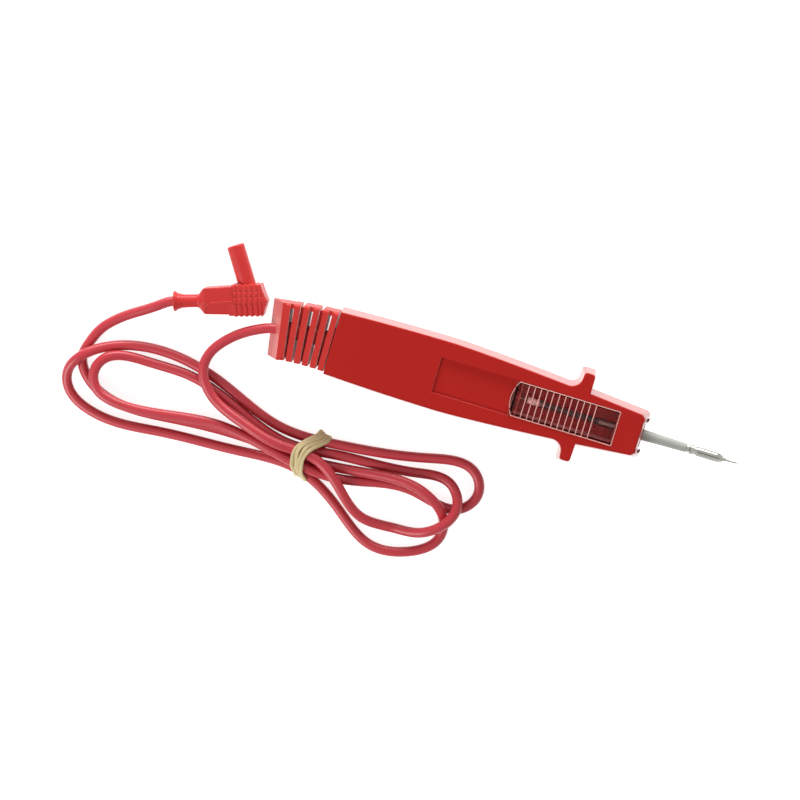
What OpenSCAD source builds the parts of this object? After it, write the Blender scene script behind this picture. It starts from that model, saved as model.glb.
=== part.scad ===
// Hand-held test probe with a clear ribbed window, a needle tip with a spring cage,
// and a limp lead in a tied hank that ends in an angled shrouded plug.
// Millimetres, +Z up. The probe lies on its back along X, its tip towards +X.
// The origin is under the middle of the probe, on the surface that it lies on.

/* [Casing] */
// Length of the casing with its strain relief, over the sloped ends
casing_len = 165; // [140:1:190]
// Thickness of the casing
casing_t = 16; // [14:0.5:20]
// Half width of the casing at its fullest, on the parting line
half_w_max = 16.4; // [14:0.2:20]
// Half width of the casing where it meets the strain relief
half_w_back = 15.2; // [12:0.2:18]
// Half width of the casing at its nose
half_w_nose = 10.6; // [9:0.2:13]
// Length of the straight front part, from the nose to the fullest width
taper_len = 84; // [70:1:95]
// Inward slope of the side walls, from the parting line to the face
draft = 1.4; // [0.5:0.1:2]
// Wall thickness of the casing
wall = 2; // [1.5:0.1:3]
// Length of the sloped nose, in front of the flat face
nose_slope = 3.3; // [1:0.1:5]

/* [Finger guards] */
// Half width over the finger guards
guard_reach = 20.8; // [18:0.2:26]
// Distance from the nose to the front of the guards
guard_x = 24; // [20:1:30]
// Thickness of a guard at the face
guard_t = 4; // [3:0.2:6]
// Radius behind each guard, on the parting line
guard_fillet = 3.4; // [2.5:0.1:5]

/* [Window] */
// Distance from the nose to the front edge of the window
window_x = 9.2; // [8:0.2:12]
// Length of the window lens
window_len = 46.8; // [40:0.2:50]
// Width of the window lens
window_w = 15.4; // [12:0.2:16]
// Pitch of the ribs on the lens
rib_pitch = 2.69; // [2.2:0.01:3.2]
// Number of ribs on the lens
rib_count = 14; // [8:1:14]
// Length of the recess behind the lens
recess_len = 32.6; // [20:0.2:34]
// Depth of the recess
recess_depth = 1; // [0.5:0.1:1.5]

/* [Strain relief] */
// Length of the strain relief along its middle, without its end plate
relief_len = 23; // [18:0.5:28]
// Narrowing of the strain relief from the casing to its end
relief_taper = 1.8; // [0:0.1:4]
// Bend of the strain relief, as the lead pulls it
relief_bend = 9; // [1:0.5:14]
// Number of slots
slot_count = 5; // [3:2:7]
// Width of a slot
slot_w = 1.3; // [0.9:0.1:1.8]
// Length of the sloped end plate
end_slope = 5.4; // [3:0.1:7]

/* [Tip] */
// Reach of the tip beyond the flat face
tip_reach = 45; // [40:0.5:55]
// Diameter of the tip's insulating sleeve at the nose
sleeve_d = 4.8; // [4:0.1:6]
// Diameter of the sleeve at its front end
sleeve_front_d = 3.8; // [3:0.1:4.5]
// Diameter of the spring cage on the tip
cage_d = 4; // [3.6:0.1:4.6]

/* [Lead and plug] */
// Diameter of the lead
lead_d = 4.4; // [3.6:0.1:5]
// Length of the plug's housing
plug_len = 27.5; // [24:0.5:32]
// Width of the plug's housing, along its shroud
plug_w = 13.4; // [11:0.2:16]
// Height of the plug's housing
plug_h = 10.5; // [9:0.5:13]
// Length of the plug's shroud beyond its collar
shroud_len = 16.8; // [15:0.2:24]
// Lean of the shroud away from the housing, past a right angle
shroud_lean = 19.2; // [0:0.2:25]
// Outer diameter of the plug's shroud
shroud_d = 7.6; // [7.2:0.1:8.4]

/* [Hidden] */

$fn = 32;
eps = 0.01;

red = [0.72, 0.06, 0.04];
relief_red = [0.8, 0.16, 0.14];
lead_red = [0.78, 0.2, 0.24];
clear_red = [0.85, 0.5, 0.5, 0.4];
sleeve_grey = [0.62, 0.64, 0.6];
steel = [0.78, 0.78, 0.76];
copper = [0.8, 0.45, 0.3];
resistor_brown = [0.2, 0.16, 0.14];
band_tan = [0.82, 0.74, 0.5];

// Places along X: the flat face ends at the nose plane, and the probe is centred on the origin
nose_x = (casing_len - tip_reach) / 2;
back_x = nose_x - casing_len;
part_z = casing_t / 2;
relief_w = 26.4;
relief_r = relief_len / (relief_bend * PI / 180);
relief_x = back_x + relief_r * sin(relief_bend) + end_slope * cos(relief_bend)
    + (relief_w - relief_taper) / 2 * sin(relief_bend);
bulge_x = nose_x - taper_len;
guard_front = nose_x - guard_x;

// Levels of the casing's side wall: height above the parting line and how far the outline has drawn in.
// The first two leave a fine groove along the parting line, the last three round the face's edge.
face_round = 0.8;
shell_levels = [[0, 0.3], [0.3, 0], [part_z - 1.2, draft - 0.2], [part_z - 0.35, draft + 0.15],
    [part_z, draft + face_round]];
nose_corner_r = 2.4;
guard_edge_r = 1.2;
guard_lean = 0.1;
flank_steps = 14;

// Window and recess
lens_front = nose_x - window_x;
lens_back = lens_front - window_len;
lens_arc_r = 14.75;
lens_t = 2.2;
lens_z = casing_t - lens_t + 0.2;
rib_w = 0.4;
rib_h = 0.3;
first_rib_x = lens_front - 10.7;
chamber_half_w = 6.4;
seat_gap = 0.1;
chamber_x0 = lens_back + 2.4;
chamber_x1 = lens_front - 0.8;
recess_back = lens_back - recess_len;

// Rear cavity, bosses and screws
cavity_x0 = relief_x + 2.6;
cavity_x1 = lens_back - 1.6;
cavity_inset = draft + wall + 0.8;
screw_spots = [[relief_x + 8, 9], [relief_x + 8, -9], [lens_back - 6, 10.6], [lens_back - 6, -10.6]];
boss_d = 6;
screw_d = 2.4;
screw_head_d = 4.6;
screw_head_t = 1.8;
screw_sink = 2.4;
screw_len = 9;
wire_gap_d = lead_d + 0.2;

// Nose pocket and bush, measured back from the nose plane
pocket_depth = 5;
pocket_back = 1.7;
pocket_w = 8.2;
pocket_h = 5.4;
bush_w = 10.4;
bush_h = 8.6;
bush_back = 8;
bush_proud = 2.2;

// Tongue of the strain relief, held in the casing's end wall
tongue_w = 13;
tongue_h = 9;
tongue_flange_t = 2;

// Series element under the window, along the casing's axis
resistor_d = 2.8;
resistor_x0 = lens_back + 15.6;
resistor_x1 = lens_front - 8.2;
ring_count = 14;
cap_d = 3.2;
cap_back_len = 3;
ferrule_d = 3;
ferrule_x0 = resistor_x0 - 8;
wire_d = 1.4;
inner_lead_end = lens_back + 4.4;

// Tip, measured from the nose plane
sleeve_end = 21.9;
collar_end = 25.2;
cage_end = 37.8;
pin_d = 2;
cage_slots = 6;

// Strain relief: slots and ribs follow an arc of relief_bend degrees
relief_h = 14.6;
relief_core_d = 7.4;
slot_pitch = relief_len / (slot_count + 1);
relief_web_h = 5;
function bend_at(s) = relief_bend * s / relief_len;
function bend_y(s) = -relief_r * (1 - cos(bend_at(s)));
function bend_x(s) = relief_x - relief_r * sin(bend_at(s));
function relief_w_at(s) = relief_w - relief_taper * s / relief_len;

// Plug: its place is the middle of its flange, with its length turned about Z
plug_at = [-146, -4, plug_h / 2];
plug_turn = 17.5;
flange_t = 2.8;
flange_d = 8.6;
neck_len = 8;
neck_d = 6;
shoulder_len = 3;
shroud_at = 23.35;
shroud_root = 1.6;
shroud_collar = 8.6;
shroud_bore = 6.1;
plug_pin_d = 2.6;
plug_cage_d = 4;
housing_x = flange_t + neck_len + shoulder_len - 0.8;
cover_x = housing_x + 10.8;
cover_wall = 1.3;
cover_ribs = 6;
cover_pitch = 2.6;
cover_rib_h = 0.3;
boot_tail = 3;
pin_back = -2.4;
pin_front = shroud_collar + shroud_len - 1;
boss_half = plug_h / 2 - cover_wall;

// Where the lead leaves the strain relief
relief_exit = [bend_x(relief_len), bend_y(relief_len), part_z];

// Rubber band round the hank: its place, its turn about Z, and the outer strands that it is pulled over
band_at = [-70, -50];
band_turn = -17;
band_strands = [[-9.5, 2.9], [-6.8, 6.8], [-1, 8.4], [7.6, 2.9]];
band_gap = 0.3;
band_t = 0.4;
band_w = 6;

// Route of the lead from the strain relief to the plug: out and back in three long folds, in round numbers
lead_r = lead_d / 2;
lead_sides = 8;
lead_route = [
    [-101.5, -2.4, 8], [-107, -4.5, 8], [-114.5, -9, 7.5], [-120.5, -14.5, 7.5], [-124.5, -20.5, 7],
    [-125.5, -27.5, 7], [-120, -37, 7], [-103, -45, 9.5], [-85, -49.5, 10], [-69, -51, 8],
    [-59.5, -56, 8.5], [-41.5, -70.5, 4], [-28, -71, 2.2], [-14.5, -68, 7.5], [-4, -54.5, 7.5],
    [-5, -50, 6], [-9.5, -45, 4.5], [-25.5, -45, 2.5], [-60, -47.5, 3.5], [-80, -49, 3.2],
    [-117, -37.5, 2.5], [-149, -32.5, 3.5], [-166, -34, 7], [-170, -39.5, 7], [-170.5, -43.5, 7],
    [-167.5, -50, 7], [-151, -53, 7], [-112.5, -49.5, 6.5], [-79, -55, 7.5], [-55, -57, 3.5],
    [-24.5, -53, 2.2], [-2.5, -54.5, 2.2], [2.5, -48.5, 2.5], [2.5, -42.5, 2.5], [-1, -37.5, 2.5],
    [-22.5, -37.5, 2.2], [-59.5, -43, 3], [-87, -43, 2.8], [-117, -32, 2.2], [-145.5, -26.5, 2.2],
    [-169.5, -32, 4.5], [-178, -39.5, 6.5], [-180.5, -46, 4], [-179, -52.5, 2.5], [-166.5, -60, 2.2],
    [-136, -60.5, 2.2], [-102.5, -58.5, 2.5], [-74.5, -58.5, 3.1], [-53, -70, 2.2], [-35.5, -81, 2.5],
    [-20, -79.5, 2.5], [-7.5, -69, 2.2], [-7.5, -62.5, 3.5], [-10, -57.5, 6.5], [-20, -51, 9],
    [-46, -51, 5], [-71, -53.5, 2.5], [-100, -52, 2.2], [-134, -53.5, 2.2], [-163.5, -52.5, 2.2],
    [-174, -46, 2.2], [-177, -36.5, 2.2], [-168.5, -23.5, 2.5], [-159, -14, 3.5], [-151, -5.6, 5.2]
];
lead_route_whole = concat([relief_exit], lead_route, [plug_at]);
long_span = 19;

// Direction of a route at point i, where the nearer neighbour counts for more
function unit(v) = v / norm(v);
function tangent(p, i) =
    let (a = p[i] - p[max(i - 1, 0)], b = p[min(i + 1, len(p) - 1)] - p[i])
    i == 0 ? unit(b) : i == len(p) - 1 ? unit(a) : unit(a / (norm(a) * norm(a)) + b / (norm(b) * norm(b)));

// A route with a point more, on the curve, in the middle of each span longer than the limit
function rounded_route(p, limit) = [
    for (i = [0:len(p) - 1]) each i == len(p) - 1 || norm(p[i + 1] - p[i]) < limit
        ? [p[i]]
        : [p[i], (p[i] + p[i + 1]) / 2 + norm(p[i + 1] - p[i]) / 8 * (tangent(p, i) - tangent(p, i + 1))]
];

// Sweep of a round section along a route: ring i is square to the route, kept upright by the Z axis
function side_of(t) = unit(cross([0, 0, 1], t));
function ring(p, i, r, n) =
    let (t = tangent(p, i), a = side_of(t), b = cross(t, a))
    [for (k = [0:n - 1]) p[i] + r * (cos(360 * k / n) * a + sin(360 * k / n) * b)];

// Skin between stacked rings of n points each
function wall_faces(rings, n) = [
    for (i = [0:rings - 2], k = [0:n - 1])
        let (a = i * n + k, b = i * n + (k + 1) % n)
        each [[a, b + n, b], [a, a + n, b + n]]
];

// The same skin with a flat end on the first and the last ring
function skin_faces(rings, n) = concat(
    wall_faces(rings, n),
    [[for (k = [0:n - 1]) k]],
    [[for (k = [n - 1:-1:0]) (rings - 1) * n + k]]
);

// Ends for a ring that is its own mirror image: strips from each point to its mirror point
function mirror_caps(rings, n) = concat(
    [for (k = [0:n / 2 - 2]) [k, k + 1, n - 2 - k, n - 1 - k]],
    [for (k = [0:n / 2 - 2]) let (o = (rings - 1) * n) [o + n - 1 - k, o + n - 2 - k, o + k + 1, o + k]]
);

module swept_tube(route, r, n) {
    points = [for (i = [0:len(route) - 1]) each ring(route, i, r, n)];
    polyhedron(points = points, faces = skin_faces(len(route), n), convexity = 10);
}

// Arc from angle a0 to a1 in n steps
function arc(cx, cy, r, a0, a1, n) =
    [for (i = [0:n]) let (a = a0 + (a1 - a0) * i / n) [cx + r * cos(a), cy + r * sin(a)]];

// Half width of the casing on the parting line: a slightly full taper in front, a shallow bow behind
function half_w(x) = x > bulge_x
    ? half_w_nose + (half_w_max - half_w_nose) * (1 - pow(1 - (nose_x - min(x, nose_x)) / taper_len, 1.3))
    : half_w_max - (half_w_max - half_w_back) * pow((bulge_x - x) / (bulge_x - relief_x), 2);

// Upper half of the casing's outline, drawn in by g from the parting line's outline
function nose_front(g) = nose_x + nose_slope * (1 - g / (draft + face_round));
function guard_back(g) = guard_front - guard_t - (draft + face_round - g);
function half_outline(g) =
    let (
        w_nose = half_w(nose_x) - g,
        reach = guard_reach - g,
        back = guard_back(g),
        fillet_r = guard_fillet + g,
        fillet_x = back - fillet_r - guard_lean,
        fillet_w = half_w(fillet_x) - g
    )
    concat(
        arc(nose_front(g) - nose_corner_r, w_nose - nose_corner_r, nose_corner_r, 0, 90, 5),
        [[guard_front + guard_lean, half_w(guard_front) - g]],
        arc(guard_front - guard_edge_r, reach - guard_edge_r, guard_edge_r, 0, 90, 3),
        arc(back + guard_edge_r, reach - guard_edge_r, guard_edge_r, 90, 180, 3),
        arc(fillet_x, fillet_w + fillet_r, fillet_r, 0, -90, 6),
        [for (i = [1:flank_steps])
            let (x = fillet_x + (relief_x - fillet_x) * i / flank_steps) [x, half_w(x) - g]]
    );
function outline(g) =
    let (upper = half_outline(g))
    concat(upper, [for (i = [len(upper) - 1:-1:0]) [upper[i][0], -upper[i][1]]]);

// One half of the casing as a loft from the parting line up to the flat face
module drafted_half() {
    count = len(outline(0));
    points = [for (level = shell_levels) each [for (p = outline(level[1])) [p[0], p[1], level[0]]]];
    levels = len(shell_levels);
    polyhedron(points = points, faces = concat(wall_faces(levels, count), mirror_caps(levels, count)),
        convexity = 10);
}

// Cavity behind the window, with the screw bosses left standing
module rear_cavity_plan() {
    steps = 10;
    upper = [for (i = [0:steps])
        let (x = cavity_x0 + (cavity_x1 - cavity_x0) * i / steps) [x, half_w(x) - cavity_inset]];
    difference() {
        polygon(concat(upper, [for (i = [steps:-1:0]) [upper[i][0], -upper[i][1]]]));
        for (spot = screw_spots)
            translate(spot)
                circle(d = boss_d);
    }
}

// Hollows that both halves of the casing share, from the parting line outwards
module shared_hollows(depth) {
    translate([0, 0, -eps])
        linear_extrude(depth + eps)
            rear_cavity_plan();
    translate([relief_x - 1, -tongue_w / 2, -tongue_h / 2])
        cube([cavity_x0 - relief_x + 1 + eps, tongue_w, tongue_h]);
    translate([cavity_x1 - eps, 0, 0])
        rotate([0, 90, 0])
            cylinder(d = wire_gap_d, h = chamber_x0 - cavity_x1 + 2 * eps);
    translate([chamber_x1 - eps, 0, 0])
        rotate([0, 90, 0])
            cylinder(d = cap_d, h = nose_x - bush_back - chamber_x1 + 2 * eps);
    translate([nose_x - bush_back, -bush_w / 2, -bush_h / 2])
        cube([bush_back + eps, bush_w, bush_h]);
    translate([nose_x - pocket_back, 0, 0])
        rotate([0, 90, 0])
            linear_extrude(pocket_depth + 2)
                rounded_rect(2 * pocket_h, 2 * pocket_w, 2);
}

// Rectangle with round corners, made from bars and circles
module rounded_rect(w, h, r) {
    square([w - 2 * r, h], center = true);
    square([w, h - 2 * r], center = true);
    for (x = [-1, 1], y = [-1, 1])
        translate([x * (w / 2 - r), y * (h / 2 - r)])
            circle(r = r, $fn = 16);
}

// Lens outline: square in front, a shallow arc behind
module lens_plan(gap) {
    intersection() {
        translate([lens_back - gap, -window_w / 2 - gap])
            square([window_len + 2 * gap, window_w + 2 * gap]);
        translate([lens_back + lens_arc_r, 0])
            circle(r = lens_arc_r + gap, $fn = 72);
    }
    translate([lens_back + lens_arc_r / 2, -window_w / 2 - gap])
        square([window_len - lens_arc_r / 2 + gap, window_w + 2 * gap]);
}

module front_shell() {
    color(red)
        translate([0, 0, part_z])
            difference() {
                drafted_half();
                shared_hollows(casing_t / 2 - recess_depth - wall + 0.2);
                translate([recess_back, -window_w / 2 - seat_gap, part_z - recess_depth])
                    cube([lens_front - recess_back + seat_gap, window_w + 2 * seat_gap, 2 * recess_depth]);
                translate([0, 0, lens_z - part_z])
                    linear_extrude(casing_t)
                        lens_plan(seat_gap);
                translate([chamber_x0, -chamber_half_w, -eps])
                    cube([chamber_x1 - chamber_x0, 2 * chamber_half_w, casing_t]);
                for (spot = screw_spots)
                    translate([spot[0], spot[1], -eps])
                        cylinder(d = screw_d, h = screw_len - part_z + screw_sink + screw_head_t + 0.6);
            }
}

module back_shell() {
    color(red)
        translate([0, 0, part_z])
            mirror([0, 0, 1])
                difference() {
                    drafted_half();
                    shared_hollows(casing_t / 2 - wall);
                    translate([chamber_x0, -chamber_half_w, -eps])
                        cube([chamber_x1 - chamber_x0, 2 * chamber_half_w, casing_t / 2 - wall - 1]);
                    for (spot = screw_spots)
                        translate([spot[0], spot[1], -eps]) {
                            cylinder(d = screw_d + 0.2, h = part_z + 1);
                            translate([0, 0, part_z - screw_sink - screw_head_t])
                                cylinder(d = screw_head_d + 0.6, h = 10);
                        }
                }
}

module window_lens() {
    color(clear_red) {
        translate([0, 0, lens_z])
            linear_extrude(lens_t)
                lens_plan(0);
        for (i = [0:rib_count - 1])
            translate([first_rib_x - i * rib_pitch - rib_w / 2, -window_w / 2, lens_z + lens_t - eps])
                cube([rib_w, window_w, rib_h + eps]);
    }
}

// Place at arc length s along the bent strain relief, measured back from the casing
module along_relief(s) {
    translate([bend_x(s), bend_y(s), part_z])
        rotate([0, 0, bend_at(s)])
            children();
}

// One rib: a plate square to the arc, thick enough to meet half a slot on each side
module relief_rib(s, t) {
    along_relief(s)
        rotate([0, 90, 0])
            translate([0, 0, -t / 2])
                linear_extrude(t)
                    rounded_rect(relief_h, relief_w_at(s), 1.6);
}

// Web across slot i: slots are open by turns on the upper and on the lower side of the core
module relief_web(i) {
    side = i % 2 == 0 ? -1 : 1;
    s = i * slot_pitch;
    half = relief_w_at(s) / 2;
    along_relief(s) {
        rotate([0, 90, 0])
            translate([0, 0, -slot_w / 2 - 0.4])
                cylinder(d = relief_core_d, h = slot_w + 0.8);
        translate([-slot_w / 2 - 0.4, side > 0 ? -half + 1.4 : 0, -relief_web_h / 2])
            cube([slot_w + 0.8, half - 1.4, relief_web_h]);
        if (side > 0)
            translate([-slot_w / 2 - 0.4, half - 2.2, -relief_h / 2 + 1])
                cube([slot_w + 0.8, 2, relief_h - 2]);
    }
}

module strain_relief() {
    color(relief_red)
        difference() {
            union() {
                for (i = [0:slot_count])
                    relief_rib((i + 0.5) * slot_pitch, slot_pitch - slot_w);
                for (i = [1:slot_count])
                    relief_web(i);
                relief_end_plate();
                relief_tongue();
            }
            swept_bore();
        }
}

// Sloped plate at the lead's end
module relief_end_plate() {
    along_relief(relief_len)
        rotate([90, 0, 0])
            linear_extrude(relief_w_at(relief_len), center = true)
                polygon([[slot_w, -relief_h / 2], [slot_w, relief_h / 2], [0, relief_h / 2],
                    [-end_slope, -relief_h / 2 + 1], [-end_slope + 0.4, -relief_h / 2]]);
}

// Tongue and flange that the casing grips
module relief_tongue() {
    translate([relief_x - slot_w, -tongue_w / 2, part_z - tongue_h / 2])
        cube([slot_w + cavity_x0 - relief_x + tongue_flange_t, tongue_w, tongue_h]);
    translate([cavity_x0, -tongue_w / 2 - 2, part_z - tongue_h / 2 - 0.5])
        cube([tongue_flange_t, tongue_w + 4, tongue_h + 1]);
}

// Way of the lead through the strain relief
module swept_bore() {
    steps = 6;
    route = concat(
        [[cavity_x0 + tongue_flange_t + 1, 0, part_z]],
        [for (i = [0:steps]) let (s = relief_len * i / steps) [bend_x(s), bend_y(s), part_z]],
        [[bend_x(relief_len) - 8 * cos(relief_bend), bend_y(relief_len) - 8 * sin(relief_bend), part_z]]
    );
    swept_tube(route, lead_r, 24);
}

module nose_bush() {
    color(red)
        difference() {
            union() {
                translate([nose_x - bush_back, -bush_w / 2, part_z - bush_h / 2])
                    cube([bush_back - pocket_back, bush_w, bush_h]);
                translate([nose_x - pocket_back - eps, 0, part_z])
                    rotate([0, 90, 0])
                        linear_extrude(pocket_back + bush_proud)
                            rounded_rect(bush_h, bush_w, 1.6);
            }
            translate([nose_x - bush_back - 1, 0, part_z])
                rotate([0, 90, 0])
                    cylinder(d = sleeve_d, h = bush_back + 10);
        }
}

// Places a child on the tip's axis, with Z turned towards the tip and zero at the nose plane
module on_tip_axis() {
    translate([nose_x, 0, part_z])
        rotate([0, 90, 0])
            children();
}

module tip_sleeve() {
    color(sleeve_grey)
        on_tip_axis()
            rotate_extrude()
                polygon([[pin_d / 2, -bush_back], [sleeve_d / 2, -bush_back], [sleeve_d / 2, bush_proud],
                    [sleeve_front_d / 2, sleeve_end - 0.4], [sleeve_front_d / 2 - 0.3, sleeve_end],
                    [pin_d / 2, sleeve_end]]);
}

module tip_collar() {
    color(steel)
        on_tip_axis()
            rotate_extrude()
                polygon([[pin_d / 2, sleeve_end], [1.65, sleeve_end], [1.65, sleeve_end + 1.2],
                    [cage_d / 2 + 0.1, sleeve_end + 1.6], [cage_d / 2 + 0.1, collar_end - 0.5],
                    [cage_d / 2 - 0.3, collar_end], [pin_d / 2, collar_end]]);
}

// Slotted spring cage: a barrel of r_out round a pin, with leaves between lengthwise slots
module lantern_cage(z0, z1, r_out, r_pin, slots) {
    difference() {
        rotate_extrude()
            polygon([[r_pin, z0], [r_out - 0.35, z0], [r_out, z0 + 2], [r_out, z1 - 2.6],
                [r_pin + 0.45, z1], [r_pin, z1], [r_pin, z1 - 0.9], [r_out - 0.4, z1 - 3],
                [r_out - 0.4, z0 + 2], [r_pin, z0 + 1]]);
        for (i = [0:slots - 1])
            rotate([0, 0, 360 * i / slots])
                translate([r_pin + 0.1, -0.2, z0 + 1.2])
                    cube([r_out, 0.4, z1 - z0 - 2.4]);
    }
}

module tip_cage() {
    color(steel)
        on_tip_axis()
            lantern_cage(collar_end, cage_end, cage_d / 2, pin_d / 2, cage_slots);
}

module tip_pin() {
    color(steel)
        on_tip_axis()
            rotate_extrude()
                polygon([[0, -bush_back], [pin_d / 2, -bush_back], [pin_d / 2, cage_end + 0.4],
                    [0.5, cage_end + 1.8], [0.42, tip_reach - 2], [0.05, tip_reach], [0, tip_reach]]);
}

// Wound body: a row of shallow rings on a rod
module resistor() {
    length = resistor_x1 - resistor_x0;
    pitch = length / ring_count;
    valley_r = resistor_d / 2 - 0.25;
    rings = [for (i = [0:ring_count - 1])
        each [[valley_r, i * pitch], [resistor_d / 2, (i + 0.5) * pitch]]];
    color(resistor_brown)
        translate([resistor_x0, 0, part_z])
            rotate([0, 90, 0])
                rotate_extrude($fn = 20)
                    polygon(concat([[0, 0]], rings, [[valley_r, length], [0, length]]));
}

module end_cap(x0, length) {
    color(steel)
        translate([x0, 0, part_z])
            rotate([0, 90, 0])
                rotate_extrude()
                    polygon([[0, 0], [cap_d / 2 - 0.3, 0], [cap_d / 2, 0.3], [cap_d / 2, length - 0.3],
                        [cap_d / 2 - 0.3, length], [0, length]]);
}

module resistor_cap_front() {
    end_cap(resistor_x1, nose_x - bush_back - resistor_x1);
}

module resistor_cap_back() {
    end_cap(resistor_x0 - cap_back_len, cap_back_len);
}

// Crimped ferrule with two pinched grooves
module wire_ferrule() {
    length = resistor_x0 - cap_back_len - ferrule_x0;
    color(steel)
        translate([ferrule_x0, 0, part_z])
            rotate([0, 90, 0])
                rotate_extrude()
                    polygon([[wire_d / 2, 0], [ferrule_d / 2, 0], [ferrule_d / 2, 0.25 * length],
                        [ferrule_d / 2 - 0.35, 0.35 * length], [ferrule_d / 2, 0.45 * length],
                        [ferrule_d / 2, 0.6 * length], [ferrule_d / 2 - 0.35, 0.7 * length],
                        [ferrule_d / 2, 0.8 * length], [ferrule_d / 2, length], [wire_d / 2, length]]);
}

module bare_wire() {
    color(copper)
        translate([inner_lead_end, 0, part_z])
            rotate([0, 90, 0])
                cylinder(d = wire_d, h = resistor_x0 - cap_back_len - inner_lead_end);
}

// Lead inside the strain relief and the casing
module inner_lead() {
    steps = 6;
    route = concat(
        [[inner_lead_end, 0, part_z], [cavity_x0 + 6, 0, part_z]],
        [for (i = [0:steps]) let (s = relief_len * i / steps) [bend_x(s), bend_y(s), part_z]]
    );
    color(lead_red)
        swept_tube(route, lead_r - 0.05, 16);
}

module housing_screws() {
    color(steel)
        for (spot = screw_spots)
            translate([spot[0], spot[1], screw_sink])
                difference() {
                    union() {
                        cylinder(d = screw_head_d, h = screw_head_t);
                        cylinder(d = screw_d, h = screw_len + screw_head_t);
                    }
                    for (turn = [0, 90])
                        rotate([0, 0, turn])
                            translate([-1.2, -0.3, -eps])
                                cube([2.4, 0.6, 0.9]);
                }
}

module lead() {
    color(lead_red)
        swept_tube(rounded_route(lead_route_whole, long_span), lead_r, lead_sides);
}

// Section of the bundle of strands, grown by g
module bundle_section(g) {
    hull()
        for (spot = band_strands)
            translate(spot)
                circle(r = lead_r + g);
}

module rubber_band() {
    color(band_tan)
        translate([band_at[0], band_at[1], 0])
            rotate([0, 0, band_turn])
                rotate([90, 0, 90])
                    linear_extrude(band_w, center = true)
                        difference() {
                            bundle_section(band_gap + band_t);
                            bundle_section(band_gap);
                        }
}

// Puts a child in the plug's frame: X along the housing, Y along the shroud
module in_plug_frame() {
    translate(plug_at)
        rotate([0, 0, plug_turn])
            children();
}

// Section of the plug's housing, with one broad sloped flank; inset by g
module plug_section(g) {
    polygon([[plug_w / 2 - g, -plug_h / 2 + 1 + g], [plug_w / 2 - g, plug_h / 2 - 1 - g],
        [plug_w / 2 - 1 - g, plug_h / 2 - g], [-0.8, plug_h / 2 - g],
        [-plug_w / 2 + g, plug_h / 2 - 3.4 - g],
        [-plug_w / 2 + g, -plug_h / 2 + 1 + g], [-plug_w / 2 + 1 + g, -plug_h / 2 + g],
        [plug_w / 2 - 1 - g, -plug_h / 2 + g]]);
}

module plug_bar(x0, x1, g) {
    translate([x0, 0, 0])
        rotate([90, 0, 90])
            linear_extrude(x1 - x0)
                plug_section(g);
}

module plug_housing() {
    color(red)
        in_plug_frame()
            difference() {
                union() {
                    plug_bar(housing_x, cover_x, 0);
                    plug_bar(cover_x - eps, housing_x + plug_len - cover_wall, cover_wall);
                    shroud_boss(0);
                    shroud_tube(shroud_d, shroud_root, shroud_collar + shroud_len - shroud_root);
                }
                shroud_tube(shroud_bore, shroud_collar + 1, shroud_len);
                shroud_tube(plug_pin_d, pin_back, 20);
                translate([housing_x - 1, 0, 0])
                    rotate([0, 90, 0])
                        cylinder(d = neck_d - 1, h = 1 + boot_tail);
            }
}

// Puts a child on the shroud's axis, with Y along it and zero on the housing's middle line
module on_shroud_axis() {
    translate([housing_x + shroud_at, 0, 0])
        rotate([0, 0, shroud_lean])
            children();
}

// Cylinder on the shroud's axis, from y0 on
module shroud_tube(d, y0, length) {
    on_shroud_axis()
        translate([0, y0, 0])
            rotate([-90, 0, 0])
                cylinder(d = d, h = length);
}

// Square collar that carries the shroud through the cover's wall, grown by g
module shroud_boss(g) {
    half = boss_half + g;
    on_shroud_axis()
        translate([-half, shroud_root, -half])
            cube([2 * half, shroud_collar - shroud_root, 2 * half]);
}

module plug_cover() {
    color(red)
        in_plug_frame()
            difference() {
                union() {
                    plug_bar(cover_x, housing_x + plug_len, 0);
                    for (i = [0:cover_ribs - 1])
                        let (x = cover_x + 1 + i * cover_pitch)
                            plug_bar(x, x + 1.2, -cover_rib_h);
                }
                plug_bar(cover_x - 1, housing_x + plug_len - cover_wall, cover_wall);
                shroud_boss(0.1);
                translate([cover_x - 1, -plug_w, -plug_h / 2 - 2])
                    cube([plug_len, 2 * plug_w, 2]);
            }
}

module plug_boot() {
    color(lead_red)
        in_plug_frame()
            rotate([0, 90, 0])
                rotate_extrude()
                    polygon([[0, 0], [flange_d / 2 - 0.5, 0], [flange_d / 2, 0.5],
                        [flange_d / 2, flange_t - 0.5], [flange_d / 2 - 0.5, flange_t],
                        [neck_d / 2, flange_t + 0.3], [neck_d / 2 + 0.2, flange_t + neck_len - 1],
                        [neck_d / 2 + 1.2, flange_t + neck_len],
                        [neck_d / 2 + 1.9, housing_x], [neck_d / 2 - 0.5, housing_x],
                        [neck_d / 2 - 0.5, housing_x + boot_tail], [0, housing_x + boot_tail]]);
}

module plug_pin() {
    color(steel)
        in_plug_frame()
            shroud_tube(plug_pin_d, pin_back, pin_front - pin_back);
}

module plug_cage() {
    color(steel)
        in_plug_frame()
            on_shroud_axis()
                rotate([-90, 0, 0])
                    lantern_cage(shroud_collar + 1.4, pin_front - 0.6, plug_cage_d / 2, plug_pin_d / 2, 6);
}

front_shell();
back_shell();
window_lens();
strain_relief();
nose_bush();
tip_sleeve();
tip_collar();
tip_cage();
tip_pin();
resistor();
resistor_cap_front();
resistor_cap_back();
wire_ferrule();
bare_wire();
inner_lead();
housing_screws();
lead();
rubber_band();
plug_housing();
plug_cover();
plug_boot();
plug_pin();
plug_cage();
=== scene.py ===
"""Hand-held test probe with its lead and shrouded plug, laid out on a photographer's table.

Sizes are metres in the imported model's frame: +X along the probe to its needle, +Z up out of the
face with the window, the origin on the table under the middle of the probe.
"""

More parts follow.
